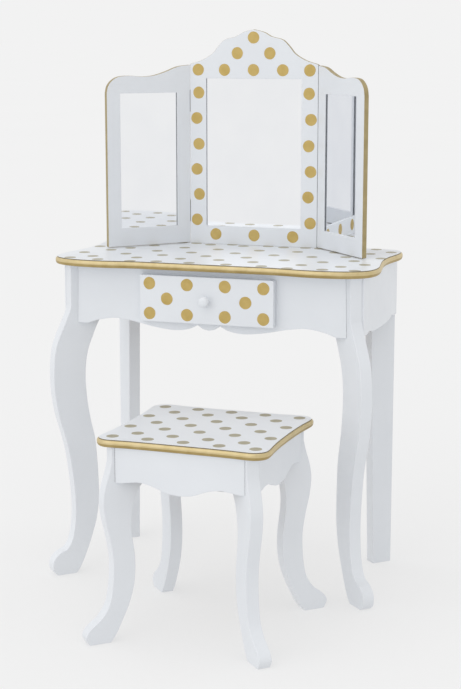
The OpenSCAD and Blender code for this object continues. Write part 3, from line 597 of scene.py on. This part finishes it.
def add_all_dots():
    """Dots on the top, the seat, the drawer and the centre panel. Those that run in under
    the mirror's foot are cut off at its face."""
    top = Matrix.Translation((0, TABLE_CENTRE_Y, TOP_Z))
    limit = board_limit("table_top", top)
    foot = PANEL_FRONT_Y - TABLE_CENTRE_Y - FOOT_CLEAR
    centre_half = (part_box("centre_frame")[1].x + LEVEL_DOT) / MM
    places = [p for row in TOP_DOTS for p in row]
    behind = [p for p in places if abs(p[0]) < centre_half and p[1] * MM > foot - LEVEL_DOT]
    clear = [p for p in places if p not in behind]
    add_dots("top_dots", "table", clear, top, limit)
    add_dots("top_dots_at_mirror", "table", behind, top, in_front_of(limit, foot))

    seat = Matrix.Translation((*STOOL_CENTRE.xy, SEAT_Z)) @ Matrix.Rotation(STOOL_TURN, 4, "Z")
    rows = [[(SEAT_PITCH * i, y) for i in ((-2, -1, 0, 1, 2), (-1.5, -0.5, 0.5, 1.5))[n % 2]]
            for n, y in enumerate(SEAT_ROWS)]
    add_dots("seat_dots", "stool", [p for row in rows for p in row], seat,
             board_limit("stool_seat", seat))

    drawer_middle = sum(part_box("drawer_front"), Vector()) / 2
    add_dots("drawer_dots", "drawer", DRAWER_DOTS,
             upright_plane(0, DRAWER_FRONT_Y, drawer_middle.z))
    add_dots("panel_dots", "table", PANEL_DOTS, upright_plane(0, PANEL_FRONT_Y, TOP_Z))


# ---- Table, drawer and stool ----

def add_table():
    moulded_board("table_top")
    eased_board("front_apron", WHITE, paint=seam_painted_shade)
    for node in ("rear_apron", "left_apron", "right_apron", "front_left_leg",
                 "front_right_leg", "rear_left_leg", "rear_right_leg"):
        eased_board(node, WHITE)
    eased_board("corner_blocks", PLYWOOD["z"], RAW_EASED)
    for node in ("left_runner", "right_runner"):
        eased_board(node, PLYWOOD["y"], RAW_EASED)
    for node in ("leg_bolts", "leg_barrel_nuts", "top_screws", "runner_screws"):
        kept_node(node, STEEL)


def add_drawer():
    eased_board("drawer_front", WHITE)
    for node, grain in (("drawer_inner_front", "x"), ("drawer_back", "x"),
                        ("drawer_left_side", "y"), ("drawer_right_side", "y")):
        eased_board(node, PLYWOOD[grain], RAW_EASED)
    kept_node("drawer_bottom", HARDBOARD)
    kept_node("drawer_knob", WHITE)
    kept_node("drawer_screws", STEEL)
    kept_node("drawer_knob_bolt", STEEL)


def add_stool():
    moulded_board("stool_seat")
    eased_board("stool_front_apron", WHITE, paint=seam_painted_shade)
    for side in ("rear", "left", "right"):
        eased_board(f"stool_{side}_apron", WHITE)
    for corner in ("front_left", "front_right", "rear_left", "rear_right"):
        eased_board(f"stool_{corner}_leg", WHITE)
    eased_board("stool_corner_blocks", PLYWOOD["z"], RAW_EASED)
    for node in ("stool_leg_bolts", "stool_barrel_nuts", "stool_seat_screws"):
        kept_node(node, STEEL)


# ---- Stage ----

BACKDROP = 0.888    # grey of the room behind the set
FLOOR_GLOW = 0.6    # share of the floor's light that is its own
FLOOR_RADIUS = 150  # so far that its edge lies at the horizon
# Very soft lights: name, strength and direction
LIGHTS = [("front", 0.5, Vector((0.40, 0.80, -0.35)).normalized()),
          ("overhead", 0.45, Vector((0.15, 0.10, -1)).normalized())]


def add_floor():
    """A glowing floor as pale as the room behind it, with weak shadows."""
    lit = sum(-strength * direction.z / math.pi for _, strength, direction in LIGHTS)
    pale = (1 - FLOOR_GLOW) * BACKDROP / (BACKDROP + lit)
    material, tree, shader = new_material("studio_floor")
    shade = noise(tree, place(tree), 0.6, 2)
    tree.links.new(ramp(tree, shade, [(0.3, (pale - 0.002,) * 3), (0.7, (pale + 0.002,) * 3)]),
                   shader.inputs["Base Color"])
    shader.inputs["Roughness"].default_value = 1.0
    shader.inputs["Specular IOR Level"].default_value = 0.0
    shader.inputs["Emission Color"].default_value = (BACKDROP, BACKDROP, BACKDROP, 1)
    shader.inputs["Emission Strength"].default_value = FLOOR_GLOW
    mesh = bmesh.new()
    bmesh.ops.create_circle(mesh, cap_ends=True, radius=FLOOR_RADIUS, segments=96)
    data = bpy.data.meshes.new("floor")
    mesh.to_mesh(data)
    mesh.free()
    data.materials.append(material)
    floor = bpy.data.objects.new("floor", data)
    bpy.context.scene.collection.objects.link(floor)


def add_light():
    """An even white room, with one weak soft light from the front and one from above."""
    world = bpy.data.worlds.new("studio")
    bpy.context.scene.world = world
    world.use_nodes = True
    background = world.node_tree.nodes["Background"]
    background.inputs["Color"].default_value = (BACKDROP, BACKDROP, BACKDROP, 1)
    background.inputs["Strength"].default_value = 1.0
    for name, strength, direction in LIGHTS:
        lamp = bpy.data.lights.new(name, "SUN")
        lamp.energy = strength
        lamp.angle = math.radians(60)
        light = bpy.data.objects.new(name, lamp)
        light.rotation_euler = direction.to_track_quat("-Z", "Y").to_euler()
        bpy.context.scene.collection.objects.link(light)


def add_camera():
    """A long lens, a little above the set and to its right."""
    data = bpy.data.cameras.new("camera")
    data.lens = 84.77
    data.sensor_width = 36
    camera = bpy.data.objects.new("camera", data)
    camera.location = (0.9436, -2.6509, 0.9994)
    camera.rotation_euler = (math.radians(79.166), 0, math.radians(18.597))
    bpy.context.scene.collection.objects.link(camera)
    bpy.context.scene.camera = camera
    bpy.context.scene.view_settings.view_transform = "Standard"


add_camera()
add_light()
add_floor()
add_table()
add_drawer()
add_mirrors()
add_stool()
add_all_dots()
